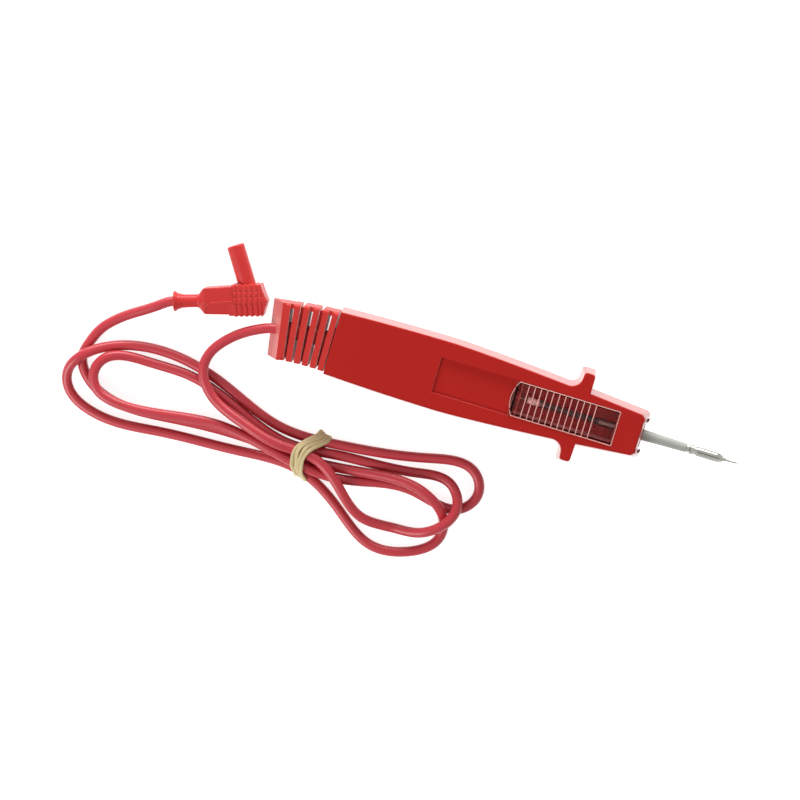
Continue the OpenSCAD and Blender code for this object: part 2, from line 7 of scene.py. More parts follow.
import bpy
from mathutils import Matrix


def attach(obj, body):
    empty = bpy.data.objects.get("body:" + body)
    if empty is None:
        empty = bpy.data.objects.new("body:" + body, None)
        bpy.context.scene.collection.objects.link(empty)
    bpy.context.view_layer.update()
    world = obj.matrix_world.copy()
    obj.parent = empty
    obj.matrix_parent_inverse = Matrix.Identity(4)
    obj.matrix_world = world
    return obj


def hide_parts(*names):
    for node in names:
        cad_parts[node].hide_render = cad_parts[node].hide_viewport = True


bl_info = {
    "name": "Test probe",
    "version": (1, 0, 0),
    "blender": (4, 5, 0),
    "location": "3D View > Sidebar > Test probe",
    "description": "Builds a test probe with a ribbed window, its banded lead and its plug",
    "category": "Add Mesh",
}

from collections import namedtuple

import bmesh
import bpy
import numpy as np
from bpy.props import FloatProperty, FloatVectorProperty, IntProperty, PointerProperty
from mathutils import Matrix, Vector

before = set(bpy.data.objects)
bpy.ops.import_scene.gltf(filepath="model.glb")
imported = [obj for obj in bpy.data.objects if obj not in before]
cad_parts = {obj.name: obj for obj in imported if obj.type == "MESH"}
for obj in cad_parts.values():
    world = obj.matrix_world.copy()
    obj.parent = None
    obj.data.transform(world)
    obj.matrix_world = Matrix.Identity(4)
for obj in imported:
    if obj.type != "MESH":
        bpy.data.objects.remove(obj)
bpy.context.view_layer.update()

MM = 0.001

# Points read from the curve between two points of a route, and what a copied node takes: the
# distance at which its points are joined, and the angles of what is flat and what is an edge
READINGS = 24
WELD_DISTANCE = 2e-6
FLAT_DEGREES = 0.05
EDGE_DEGREES = 35

# Route of the lead's middle line from the strain relief to the plug
LEAD_EXIT = (-0.09774, -0.0018, 0.008)
LEAD_END = (-0.146, -0.004, 0.00525)
LEAD_DIAMETER = 0.0044
RELIEF_BEND = 9.0
LEAD_ROUTE = np.array([
    (-101.5, -2.4, 8), (-107, -4.5, 8), (-114.5, -9, 7.5), (-120.5, -14.5, 7.5), (-124.5, -20.5, 7),
    (-125.5, -27.5, 7), (-120, -37, 7), (-103, -45, 9.5), (-85, -49.5, 10), (-69, -51, 8),
    (-59.5, -56, 8.5), (-41.5, -70.5, 4), (-28, -71, 2.2), (-14.5, -68, 7.5), (-4, -54.5, 7.5),
    (-5, -50, 6), (-9.5, -45, 4.5), (-25.5, -45, 2.5), (-60, -47.5, 3.5), (-80, -49, 3.2),
    (-131.3, -33.1, 2.5), (-141.1, -32.7, 2.5), (-150.7, -32.7, 2.8), (-160.5, -33, 4.6),
    (-167.4, -35.95, 6.6), (-170.4, -42.8, 7), (-167.4, -49.75, 7), (-160.5, -52.8, 7),
    (-151, -53.5, 7), (-112.5, -49.5, 6.5), (-79, -55, 7.5), (-55, -57, 3.5), (-24.5, -53, 2.2),
    (-2.5, -54.5, 2.2), (2.5, -48.5, 2.5), (2.5, -42.5, 2.5), (-1, -37.5, 2.5), (-22.5, -37.5, 2.2),
    (-59.5, -43, 3), (-87, -43, 2.8), (-117, -32, 2.2), (-145.5, -26.5, 2.2), (-169.5, -32, 4.5),
    (-178.7, -39.2, 6.7), (-181.8, -46, 4.5), (-180.3, -52.9, 2.5), (-167.5, -60.7, 2.2),
    (-136, -60.5, 2.2), (-102.5, -58.5, 2.5), (-74.5, -58.5, 3.1), (-53, -70, 2.2),
    (-35.5, -81, 2.5), (-20, -79.5, 2.5), (-7.5, -69, 2.2), (-7.5, -62.5, 3.5), (-10, -57.5, 6.5),
    (-20, -51, 9), (-46, -51, 5), (-71, -53.5, 2.5), (-100, -52, 2.2), (-134, -53.5, 2.2),
    (-163.5, -52.5, 2.2), (-173.8, -46.2, 2.2), (-177.8, -37.8, 2.2), (-176.9, -33.4, 2.2),
    (-172.9, -24.5, 2.3), (-167.6, -18.9, 2.7), (-162.3, -14.8, 3.4), (-156.5, -11, 4.4),
    (-150.9, -7, 5.2),
]) * MM

# The band's place, its turn, the strands of the hank that it is pulled over, the middle that it
# winds round, and the share of a turn on which it comes back to its start
BAND_AT = (-0.070, -0.050)
BAND_TURN = -17.0
BAND_STRANDS = np.array([[-8.7, 2.9], [-6.6, 6.6], [-1.0, 8.4], [7.0, 2.9]]) * MM
BAND_MIDDLE = np.array([-1.0, 5.2]) * MM
BAND_RETURN = 0.32

# The plug, lengthwise from the middle of its flange: turn, half height, the neck's radius, the
# shoulder's stations, the housing's half widths from there to the cover, the cover's stations, half
# width, wedge and ridge, the flank's upper edge and drop, the power that rounds the corners, and
# the bead round the bare panel
PLUG_TURN = 17.9
PLUG_HALF_HEIGHT = 0.00525
NECK_RADIUS = 0.0029
SHOULDER = (0.0104, 0.0142)
HOUSING_HALF_WIDTH = (0.00575, 0.0061)
COVER_ENDS = (0.0240, 0.0410)
COVER_HALF_WIDTH = 0.0067
COVER_WEDGE = 0.0024
RIDGE_ACROSS = -0.0005
FLANK_EDGE = -0.0009
FLANK_DROP = 0.0034
CORNER_POWER = 40
PANEL_BEAD = 0.0003

# The cover's grip in mm: crown of one rib, where the ribs begin, the lengthwise gaps with the width
# of each, and their depth; then the step of the cover's front edge and where it rises across
GRIP_CROWN = 27.1
GRIP_START = (25.6, 26.0)
GRIP_GAPS = ((4.0, 0.32), (1.7, 0.32), (-1.2, 0.28))
GRIP_GAP_DEPTH = 0.22
COVER_STEP = 1.7
COVER_STEP_ACROSS = (-3.6, 0.2)

# The plug's shroud: where its axis crosses the housing's, its turn, and from there its root, the
# bore's floor and its end; then the pin in it and the spring blades round the pin
SHROUD_AT = 0.03393
SHROUD_TURN = 15.2
SHROUD_REACH = 0.0244
SHROUD_RADIUS = 0.0038
SHROUD_BORE = 0.00305
SHROUD_ROOT = 0.004
SHROUD_FLOOR = 0.0092
PIN_RADIUS = 0.0013
BLADE_START = 0.0102
BLADE_LENGTH = 0.0125
BLADE_BULGE = 0.0007
BLADE_HALF_SECTION = (0.00042, 0.00018)

# The window: the lens in plan and in height, the ribs on it and the bead round it
LENS_FRONT = 0.0508
LENS_BACK = 0.0040
LENS_HALF_WIDTH = 0.0077
LENS_ARC_RADIUS = 0.01475
LENS_CORNER = 0.0006
LENS_UNDER = 0.0140
LENS_TOP = 0.0162
FIRST_RIB_X = 0.0401
RIB_PITCH = 0.00269
RIB_HEIGHT = 0.0003
RIM_RADIUS = 0.00016

# The casing's side walls: height of the parting line and how far the walls reach above and below
# it. The recess and the chamber under the lens lie in a box: middle and half length, half width
PARTING_Z = 0.008
WALL_REACH = 0.0075
CHAMBER_X = (0.0064, 0.0454)
CHAMBER_Y = 0.0082

# The nose: where the face ends, the slope below it as heights and how far it stands out in front of
# the face, and the two slots in the slope, each a bead round a dark plate of painted shade
NOSE_X = 0.060
NOSE_SLOPE = ((0.0083, 0.0148, 0.01565, 0.016), (0.0033, 0.0015, 0.000975, 0.0))
NOSE_SLOT_Y = 0.0069
NOSE_SLOT_WIDTH = 0.0017
NOSE_SLOT_Z = (0.0087, 0.0152)
NOSE_SLOT_BEAD = 0.00022
NOSE_SLOT_POWER = 6

# The camera, as the photograph was taken: its lean, its roll in degrees and its focal length in
# pixels of the picture
CAMERA_TARGET = Vector((-0.040886, -0.017126, 0.0))
CAMERA_DISTANCE = 1.2
CAMERA_LEAN_X = 2.0
CAMERA_LEAN_Y = 8.0
CAMERA_ROLL = 16.9
PHOTO_FOCAL_PIXELS = 2790.7
PHOTO_HALF_PIXELS = 400
LAMP_AIM = Vector((-0.03, 0.0, 0.0))
TABLE_HALF = 4.0


# shapes


def grid_faces(rows, columns):
    """Quads between neighbours of a grid whose last column meets its first."""
    row = np.arange(rows - 1)[:, None] * columns
    column = np.arange(columns)[None, :]
    near, far = row + column, row + (column + 1) % columns
    return np.stack([near, far, far + columns, near + columns], axis=-1).reshape(-1, 4)


def closed_skin(rings, last_point=None):
    """Skin over rings of points, each running round the path's direction by the right-hand rule.
    A fan closes each end, round the middle of the first ring and of the last or a given point."""
    rows, columns, _ = rings.shape
    last_point = rings[-1].mean(axis=0) if last_point is None else last_point
    points = np.vstack([rings.reshape(-1, 3), rings[0].mean(axis=0), last_point])
    here = np.arange(columns)
    after = (here + 1) % columns
    last = (rows - 1) * columns
    first_fan = np.stack([np.full(columns, rows * columns), after, here], axis=-1)
    last_fan = np.stack([np.full(columns, rows * columns + 1), last + here, last + after], axis=-1)
    return points, [grid_faces(rows, columns), first_fan, last_fan]


def looped_skin(rings):
    """Skin over rings of points whose last ring meets the first, as on a closed band."""
    rows, columns, _ = rings.shape
    faces = grid_faces(rows + 1, columns) % (rows * columns)
    return rings.reshape(-1, 3), [faces]


def round_angles(count):
    """Even angles round a circle."""
    return np.linspace(0, 2 * np.pi, count, endpoint=False)


def unit(vectors):
    """Vectors scaled to length one."""
    return vectors / np.linalg.norm(vectors, axis=1)[:, None]


def loop_ways(path):
    """Direction of a closed path from the difference of each point's neighbours."""
    return unit(np.roll(path, -1, axis=0) - np.roll(path, 1, axis=0))


def round_rings(path, way, fixed, radius, sides):
    """Round section carried along a path: centre, plus the radius times the cosine of the angle
    along a vector square to the way and to a fixed one, plus the radius times its sine along a
    vector square to both."""
    side = unit(np.cross(fixed, way))
    upright = np.cross(way, side)
    angle = round_angles(sides)[None, :, None]
    out = np.cos(angle) * side[:, None] + np.sin(angle) * upright[:, None]
    return path[:, None] + radius * out


def round_tube(path, radius, sides):
    """Round tube along an open path, its rings turned from the upright."""
    return round_rings(path, unit(np.gradient(path, axis=0)), [0.0, 0.0, 1.0], radius, sides)


def ring_tube(path, radius, sides):
    """Round tube along a closed path. Its rings are turned from a direction that the path never
    takes, so that the last one meets the first."""
    level = np.ptp(path[:, 2]) < 1e-6
    fixed = [0.35, 0.0, 1.0] if level else [1.0, 0.0, 0.2]
    return round_rings(path, loop_ways(path), fixed, radius, sides)


def quarter(radius, steps):
    """Quarter circle in a corner: how far its points lie from the one side, by the radius less its
    sine, and from the other, by the radius less its cosine."""
    turn = np.linspace(0, np.pi / 2, steps)
    return radius * (1 - np.sin(turn)), radius * (1 - np.cos(turn))


def smooth_route(points, start_way, end_way, step):
    """Cubic curve through the points with a continuous bend. Its parameter is the distance summed
    from point to point, its ends leave in the given ways, and it is read at even steps."""
    points = np.asarray(points, float)
    gaps = np.linalg.norm(np.diff(points, axis=0), axis=1)
    slopes = np.diff(points, axis=0) / gaps[:, None]
    count = len(points)
    matrix = np.eye(count)
    right = np.zeros((count, 3))
    right[0], right[-1] = start_way, end_way
    inner = np.arange(1, count - 1)
    matrix[inner, inner - 1] = gaps[1:]
    matrix[inner, inner] = 2 * (gaps[:-1] + gaps[1:])
    matrix[inner, inner + 1] = gaps[:-1]
    right[1:-1] = 3 * (gaps[1:, None] * slopes[:-1] + gaps[:-1, None] * slopes[1:])
    ways = np.linalg.solve(matrix, right)
    u = np.linspace(0, 1, READINGS, endpoint=False)[None, :, None]
    gap = gaps[:, None, None]
    dense = (
        (1 + 2 * u) * (1 - u) ** 2 * points[:-1, None] + u**2 * (3 - 2 * u) * points[1:, None]
        + gap * u * (1 - u) ** 2 * ways[:-1, None] + gap * u**2 * (u - 1) * ways[1:, None]
    ).reshape(-1, 3)
    dense = np.vstack([dense, points[-1:]])
    travelled = np.concatenate([[0], np.cumsum(np.linalg.norm(np.diff(dense, axis=0), axis=1))])
    even = np.linspace(0, travelled[-1], int(round(travelled[-1] / step)) + 1)
    return np.stack([np.interp(even, travelled, dense[:, k]) for k in range(3)], axis=-1)


def level_way(degrees):
    """Level unit vector at an angle from +X."""
    angle = np.radians(degrees)
    return np.array([np.cos(angle), np.sin(angle), 0.0])


def placed(points, degrees, place):
    """Points turned by an angle about the upright, then moved to a place."""
    axes = np.array([level_way(degrees), level_way(degrees + 90), [0.0, 0.0, 1.0]])
    return points @ axes + np.asarray(place)


def rings_about(place, reach, angle):
    """Rings round X: a place along it, and the reach times the cosine and the sine of the angle."""
    place, reach, angle = np.broadcast_arrays(place, reach, angle)
    return np.stack([place, reach * np.cos(angle), reach * np.sin(angle)], axis=-1)


def turned_rings(profile, sides):
    """Rings of a surface of revolution about X, from pairs of a place along it and a radius."""
    place, radius = np.asarray(profile, float).T[:, :, None]
    return rings_about(place, radius, round_angles(sides))


def smooth_step(value, start, end):
    """Zero before the start, one after the end, and the curve 3t^2 - 2t^3 between."""
    t = np.clip((value - start) / (end - start), 0, 1)
    return t * t * (3 - 2 * t)


def new_object(name, data):
    """Object in the scene for its data."""
    thing = bpy.data.objects.new(name, data)
    bpy.context.scene.collection.objects.link(thing)
    return thing


def make_piece(name, shapes, finish, smooth, replaces=()):
    """Mesh object from shapes, each an array of points and a list of face arrays."""
    points, faces, start = [], [], 0
    for shape_points, shape_faces in shapes:
        points.append(shape_points)
        faces += [face for group in shape_faces for face in (np.asarray(group) + start).tolist()]
        start += len(shape_points)
    mesh = bpy.data.meshes.new(name)
    mesh.from_pydata(np.vstack(points).tolist(), [], faces)
    return finish_piece(name, mesh, finish, smooth, replaces)


def finish_piece(name, mesh, finish, smooth, replaces):
    """Object for a mesh: its finish, its body and the nodes that it replaces."""
    mesh.update()
    mesh.shade_smooth()
    mesh.set_sharp_from_angle(angle=np.radians(smooth))
    mesh.materials.append(finish)
    piece = new_object(name, mesh)
    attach(piece, "root")
    if replaces:
        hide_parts(*replaces)
    return piece


def moulded_copy(name, node, finish, rounding):
    """A node's own shape, its loose triangles joined and its flat areas made whole, with a
    small radius on every sharp edge, as a mould leaves it."""
    shape = bmesh.new()
    shape.from_mesh(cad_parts[node].data)
    bmesh.ops.remove_doubles(shape, verts=shape.verts, dist=WELD_DISTANCE)
    bmesh.ops.dissolve_limit(
        shape, angle_limit=np.radians(FLAT_DEGREES), verts=shape.verts, edges=shape.edges)
    mesh = bpy.data.meshes.new(name)
    shape.to_mesh(mesh)
    shape.free()
    piece = finish_piece(name, mesh, finish, 40.0, (node,))
    bevel = piece.modifiers.new("moulded_edges", "BEVEL")
    bevel.width = rounding
    bevel.segments = 3
    bevel.limit_method = "ANGLE"
    bevel.angle_limit = np.radians(EDGE_DEGREES)
    flats = piece.modifiers.new("flat_areas", "WEIGHTED_NORMAL")
    flats.weight = 100
    flats.keep_sharp = False


def dress(finish, *nodes):
    """Gives nodes that stay their finish."""
    for node in nodes:
        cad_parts[node].data.materials[0] = finish


# effects shared by the finishes


def set_inputs(tree, node, inputs):
    """Links each input of a node to the socket given for it, or sets its plain value."""
    for name, value in inputs.items():
        if isinstance(value, bpy.types.NodeSocket):
            tree.links.new(value, node.inputs[name])
        else:
            node.inputs[name].default_value = value


def add_node(tree, kind, inputs=None, **settings):
    """Shader node with its settings and inputs."""
    node = tree.nodes.new("ShaderNode" + kind)
    for name, value in settings.items():
        setattr(node, name, value)
    set_inputs(tree, node, inputs or {})
    return node


def maths(tree, operation, *values):
    """Result of an operation on sockets and plain numbers."""
    return add_node(tree, "Math", dict(enumerate(values)), operation=operation).outputs[0]


def blend(tree, factor, first, second, kind="FLOAT"):
    """Mix of two values by a factor."""
    mix = add_node(tree, "Mix", {"Factor": factor, "A": first, "B": second}, data_type=kind)
    return mix.outputs["Result"]


def noise(tree, place, **inputs):
    """Value of a noise at a place."""
    return add_node(tree, "TexNoise", {"Vector": place, **inputs}).outputs["Fac"]


def object_place(tree):
    """Place in the object's own coordinates."""
    return add_node(tree, "TexCoord").outputs["Object"]


def open_group(name, inputs):
    """Shader node group and what it is given: a colour for a tuple, else a number."""
    group = bpy.data.node_groups.new(name, "ShaderNodeTree")
    for socket, value in inputs.items():
        kind = "NodeSocketColor" if isinstance(value, tuple) else "NodeSocketFloat"
        item = group.interface.new_socket(name=socket, in_out="INPUT", socket_type=kind)
        item.default_value = value
    return group, group.nodes.new("NodeGroupInput").outputs


def close_group(group, results):
    """Gives the group an output for each result."""
    for name, result in results.items():
        kind = "NodeSocketColor" if result.type == "RGBA" else "NodeSocketFloat"
        group.interface.new_socket(name=name, in_out="OUTPUT", socket_type=kind)
    set_inputs(group, group.nodes.new("NodeGroupOutput"), results)
    return group


def moulding_tone(name):
    """Moulding tone: slow noise mixes two near colours, as pigment and flow vary in a moulding."""
    group, given = open_group(name, {
        "Colour": (0.5, 0.5, 0.5, 1), "Second colour": (0.4, 0.4, 0.4, 1),
        "Scale": 60.0, "Amount": 0.5})
    clouds = noise(group, object_place(group), Scale=given["Scale"], Detail=4.0)
    amount = maths(group, "MULTIPLY", clouds, given["Amount"])
    tone = blend(group, amount, given["Colour"], given["Second colour"], "RGBA")
    return close_group(group, {"Colour": tone})


def fine_grain(name):
    """Fine grain: a slow noise for orange peel and a fast one for grain, mixed to a height."""
    group, given = open_group(
        name, {"Peel scale": 300.0, "Grain scale": 3000.0, "Grain share": 0.4})
    place = object_place(group)
    peel = noise(group, place, Scale=given["Peel scale"])
    grain = noise(group, place, Scale=given["Grain scale"])
    return close_group(group, {"Height": blend(group, given["Grain share"], peel, grain)})


def handling_marks(name):
    """Handling marks: noise stretched along X and sharpened to streaks raises the roughness."""
    group, given = open_group(name, {
        "Roughness": 0.3, "Marked roughness": 0.5, "Scale": 90.0, "Share": 0.4})
    stretched = add_node(
        group, "Mapping", {"Vector": object_place(group), "Scale": (0.25, 1.0, 1.0)})
    streaks = noise(
        group, stretched.outputs["Vector"], Scale=given["Scale"], Detail=8.0, Roughness=0.65)
    sparse = add_node(group, "MapRange", {"Value": streaks, "From Min": 0.52, "From Max": 0.72})
    share = maths(group, "MULTIPLY", sparse.outputs["Result"], given["Share"])
    rough = blend(group, share, given["Roughness"], given["Marked roughness"])
    return close_group(group, {"Roughness": rough})


def seam_shade_and_gloss(name):
    """Painted seam shade and gloss mask: where Z is near the parting line's height the colour goes
    dark, painted shade for the shade inside the seam between the two shells. The high gloss is on
    the side walls alone, between two heights: the face, the back, the seam and the box round the
    recess and the chamber under the lens have none."""
    group, given = open_group(name, {
        "Colour": (0.5, 0.5, 0.5, 1), "Seam shade colour": (0.1, 0.1, 0.1, 1), "Seam shade width": 0.0007})
    place = add_node(group, "SeparateXYZ", {"Vector": object_place(group)}).outputs
    half = maths(group, "MULTIPLY", given["Seam shade width"], 0.5)
    # painted shade: a band at the parting line's height, where the seam's shade would fall
    seam = maths(group, "COMPARE", place["Z"], PARTING_Z, half)
    along = maths(group, "COMPARE", place["X"], *CHAMBER_X)
    across = maths(group, "COMPARE", place["Y"], 0.0, CHAMBER_Y)
    walls = maths(group, "COMPARE", place["Z"], PARTING_Z, WALL_REACH)
    outside = maths(group, "SUBTRACT", 1.0, maths(group, "MULTIPLY", along, across))
    open_wall = maths(group, "MULTIPLY", walls, maths(group, "SUBTRACT", 1.0, seam))
    return close_group(group, {
        "Colour": blend(group, seam, given["Colour"], given["Seam shade colour"], "RGBA"),
        "Gloss": maths(group, "MULTIPLY", outside, open_wall)})


def use_group(tree, build, inputs):
    """Places a shared group, which has its function's name and is built when it is first used."""
    name = build.__name__.replace("_", " ").capitalize()
    shared = bpy.data.node_groups.get(name) or build(name)
    return add_node(tree, "Group", inputs, node_tree=shared)


# finishes


def sheen(weight, roughness, tint):
    """Sockets of a sheen."""
    return {"Sheen Weight": weight, "Sheen Roughness": roughness, "Sheen Tint": rgba(tint)}


def rgba(colour):
    """Colour with full alpha."""
    return (*colour[:3], 1.0)


def shade(colour, factor):
    """The colour with its light scaled."""
    return tuple(min(1.0, c * factor) for c in colour[:3])


# A surface: its second tone, as a share of the colour's light or a colour of its own, scale of the
# tone's noise, roughness and how much rougher its marks are, scales of the peel and of the grain,
# the grain's share, the depth of both in mm, the specular level, and other sockets of the shader
Surface = namedtuple(
    "Surface", "second tone rough marks peel grain share depth specular more", defaults=({},))
PLUG_SHEEN = sheen(0.4, 0.35, (1.0, 0.7, 0.66))
PLATING = {"Metallic": 1.0}
SURFACES = {
    "casing_red": Surface(0.88, 45, 0.22, 0.1, 250, 2600, 0.35, 0.015, 0.12, {
        "Coat Roughness": 0.12, "Coat IOR": 4.0, **sheen(0.5, 0.45, (1.0, 0.9, 0.88))}),
    # painted shade: the dark floors of the nose's slots
    "nose_slot_painted_shade": Surface(0.625, 90, 0.5, 0.1, 400, 2600, 0.5, 0.02, 0.1),
    "relief_soft_red": Surface(
        0.86, 110, 0.4, 0.15, 380, 2600, 0.5, 0.03, 0.25, sheen(0.6, 0.4, (1.0, 0.8, 0.76))),
    "sleeve_grey": Surface(0.9, 300, 0.42, 0.13, 400, 3000, 0.5, 0.015, 0.45),
    "plated_metal": Surface(0.6, 500, 0.2, 0.16, 500, 6000, 0.6, 0.006, 0.5, PLATING),
    "lead_jacket": Surface(
        0.86, 120, 0.36, 0.14, 500, 3500, 0.5, 0.02, 0.5,
        sheen(0.25, 0.4, (1.0, 0.75, 0.78))),
    "band_rubber": Surface(
        0.8, 500, 0.5, 0.15, 700, 4000, 0.6, 0.04, 0.4, {"Subsurface Weight": 0.15}),
    "plug_red": Surface(0.88, 130, 0.34, 0.16, 420, 3200, 0.45, 0.02, 0.3, PLUG_SHEEN),
    "plug_cover_red": Surface(0.85, 160, 0.4, 0.15, 420, 2600, 0.55, 0.03, 0.3, PLUG_SHEEN),
    # painted highlight: the pale colour of the front ribs and the lens's rim stands in for their
    # glints
    "lens_ribs_painted_highlight": Surface(
        0.92, 200, 0.3, 0.1, 600, 4000, 0.5, 0.01, 0.5, sheen(1.0, 0.4, (1.0, 0.7, 0.64))),
    # painted shade: a darker copy of the front ribs' finish for the two rear ribs
    "lens_ribs_painted_shade": Surface(0.9, 200, 0.3, 0.1, 600, 4000, 0.5, 0.01, 0.2),
    # pale tinned metal, partly painted highlight: the ferrule's near-white stands in for its glint
    "pale_tin_and_painted_highlight": Surface(
        (0.85, 0.82, 0.8), 900, 0.25, 0.15, 900, 5000, 0.6, 0.02, 0.8),
    "element_wound": Surface(
        (0.03, 0.02, 0.017), 900, 0.45, 0.15, 900, 5000, 0.6, 0.03, 0.5),
    "element_tin": Surface(
        (0.12, 0.1, 0.09), 900, 0.35, 0.15, 900, 5000, 0.6, 0.02, 0.5, PLATING),
    "stripped_copper": Surface(
        (0.2, 0.1, 0.06), 900, 0.25, 0.2, 900, 5000, 0.6, 0.01, 0.5, PLATING),
}


def new_material(name):
    """Material, its node tree and its shader."""
    material = bpy.data.materials.new(name)
    material.use_nodes = True
    return material, material.node_tree, material.node_tree.nodes["Principled BSDF"]


def new_finish(name, colour, rough=None):
    """Finish of the table's surface: toned colour, handling marks in the roughness, and a fine
    grain as a bump. A roughness given here takes the place of the table's."""
    surface = SURFACES[name]
    rough = rough or surface.rough
    second = surface.second
    if not isinstance(second, tuple):
        second = shade(colour, second)
    material, tree, shader = new_material(name)
    tone = use_group(tree, moulding_tone, {
        "Colour": rgba(colour), "Second colour": rgba(second),
        "Scale": surface.tone, "Amount": 0.9})
    marks = use_group(tree, handling_marks, {
        "Roughness": rough, "Marked roughness": rough + surface.marks})
    grain = use_group(tree, fine_grain, {
        "Peel scale": surface.peel, "Grain scale": surface.grain, "Grain share": surface.share})
    bump = add_node(tree, "Bump", {
        "Strength": 1.0, "Distance": surface.depth * MM, "Height": grain.outputs["Height"]})
    set_inputs(tree, shader, {
        "Base Color": tone.outputs["Colour"], "Roughness": marks.outputs["Roughness"],
        "Normal": bump.outputs["Normal"], "Specular IOR Level": surface.specular, **surface.more})
    return material


def plated_metal():
    """Finish of the tip's metal, the screws and the plug's contact, built when first asked for."""
    known = bpy.data.materials.get("plated_metal")
    return known or new_finish("plated_metal", bpy.context.scene.test_probe_tip.metal_colour)


# sizes and colours a user may change


def colour_setting(name, description, default):
    return FloatVectorProperty(
        name=name, description=description, default=default, min=0, max=1, size=3, subtype="COLOR")


def length_setting(name, description, low, high, default):
    return FloatProperty(
        name=name, description=description, default=default, min=low, max=high,
        subtype="DISTANCE", unit="LENGTH")


def power_setting(name, description, default):
    return FloatProperty(
        name=name, description=description, default=default, min=0, max=200, unit="POWER")


class ProbeCasingSettings(bpy.types.PropertyGroup):
    colour: colour_setting("Casing colour", "Red of the glossy casing", (0.5, 0.009, 0.005))
    edge_radius: length_setting(
        "Edge radius", "Small radius on the casing's moulded edges", 0.00005, 0.0006, 0.00025)
    # width of the line of painted shade along the parting seam
    seam_shade_width: length_setting(
        "Seam shade width", "Width of the dark groove on the parting line", 0.0001, 0.0012, 0.0008)
    roughness: FloatProperty(
        name="Roughness", description="How far the casing's gloss is spread", subtype="FACTOR",
        min=0.05, max=0.6, default=0.22)


class ProbeWindowSettings(bpy.types.PropertyGroup):
    colour: colour_setting("Lens colour", "Tint of the clear lens", (0.98, 0.72, 0.72))
    # pale colour of the front ribs and the rim, a painted highlight
    rib_colour: colour_setting(
        "Rib colour", "Tint of the frosted ribs on the lens", (1.0, 0.46, 0.4))
    rib_count: IntProperty(
        name="Ribs", description="Number of ribs across the lens", min=4, max=14, default=14)
    rib_width: length_setting("Rib width", "Width of one rib", 0.0002, 0.0009, 0.0004)
    edge_radius: length_setting(
        "Lens edge radius", "Radius round the lens's upper edge", 0.0001, 0.0008, 0.0005)


class ProbeReliefSettings(bpy.types.PropertyGroup):
    colour: colour_setting("Relief colour", "Red of the soft strain relief", (0.64, 0.03, 0.024))
    edge_radius: length_setting(
        "Relief edge radius", "Radius on the soft ribs' edges", 0.00005, 0.0005, 0.0003)


class ProbeTipSettings(bpy.types.PropertyGroup):
    sleeve_colour: colour_setting(
        "Sleeve colour", "Grey of the tip's insulating sleeve", (0.42, 0.43, 0.39))
    metal_colour: colour_setting(
        "Metal colour", "Colour of the plated metal", (0.46, 0.45, 0.41))


class ProbeLeadSettings(bpy.types.PropertyGroup):
    colour: colour_setting("Lead colour", "Red of the lead's soft jacket", (0.56, 0.03, 0.045))
    sides: IntProperty(
        name="Sides", description="Faces round the lead", min=8, max=32, default=18)
    step: length_setting(
        "Step", "Length of the lead between two rings of points", 0.0008, 0.004, 0.0014)


class ProbeBandSettings(bpy.types.PropertyGroup):
    colour: colour_setting("Band colour", "Tan of the rubber band", (0.8, 0.62, 0.31))
    turns: IntProperty(
        name="Turns", description="How often the band goes round the hank",
        min=2, max=8, default=4)
    strand_width: length_setting(
        "Strand width", "Width of one turn of the band", 0.0008, 0.003, 0.0018)
    strand_thickness: length_setting(
        "Strand thickness", "Thickness of one turn of the band", 0.0004, 0.0015, 0.0012)
    pitch: length_setting(
        "Pitch", "Distance between two turns where they lie on the hank", 0.0008, 0.003, 0.0016)
    bow: length_setting(
        "Bow", "How far the turns have slid along the hank on its upper side", 0.0, 0.01, 0.0064)


class ProbePlugSettings(bpy.types.PropertyGroup):
    colour: colour_setting("Plug colour", "Red of the plug's housing", (0.64, 0.03, 0.028))
    cover_colour: colour_setting(
        "Cover colour", "Red of the plug's softer cover", (0.68, 0.038, 0.034))
    rib_pitch: length_setting(
        "Rib pitch", "Distance between two ribs of the cover's grip", 0.0015, 0.004, 0.0023)
    rib_height: length_setting(
        "Rib height", "Height of the cover's ribs and blocks", 0.0001, 0.0006, 0.0004)


class ProbeStageSettings(bpy.types.PropertyGroup):
    soft_light: power_setting("Soft light", "Power of the large lamp on the lead's side", 6.4)
    side_light: power_setting(
        "Side light", "Power of the lamp beyond the probe's long edge", 8.0)
    sky_light: FloatProperty(
        name="Sky light", description="Level of the plain light from all round",
        min=0, max=2, default=0.42)
    floor_shadow: FloatProperty(
        name="Floor shadow", description="How far the table's shadow darkens it", subtype="FACTOR",
        min=0, max=1, default=0.22)


SETTINGS = {
    "test_probe_casing": ProbeCasingSettings,
    "test_probe_window": ProbeWindowSettings,
    "test_probe_relief": ProbeReliefSettings,
    "test_probe_tip": ProbeTipSettings,
    "test_probe_lead": ProbeLeadSettings,
    "test_probe_band": ProbeBandSettings,
    "test_probe_plug": ProbePlugSettings,
    "test_probe_stage": ProbeStageSettings,
}


# operators


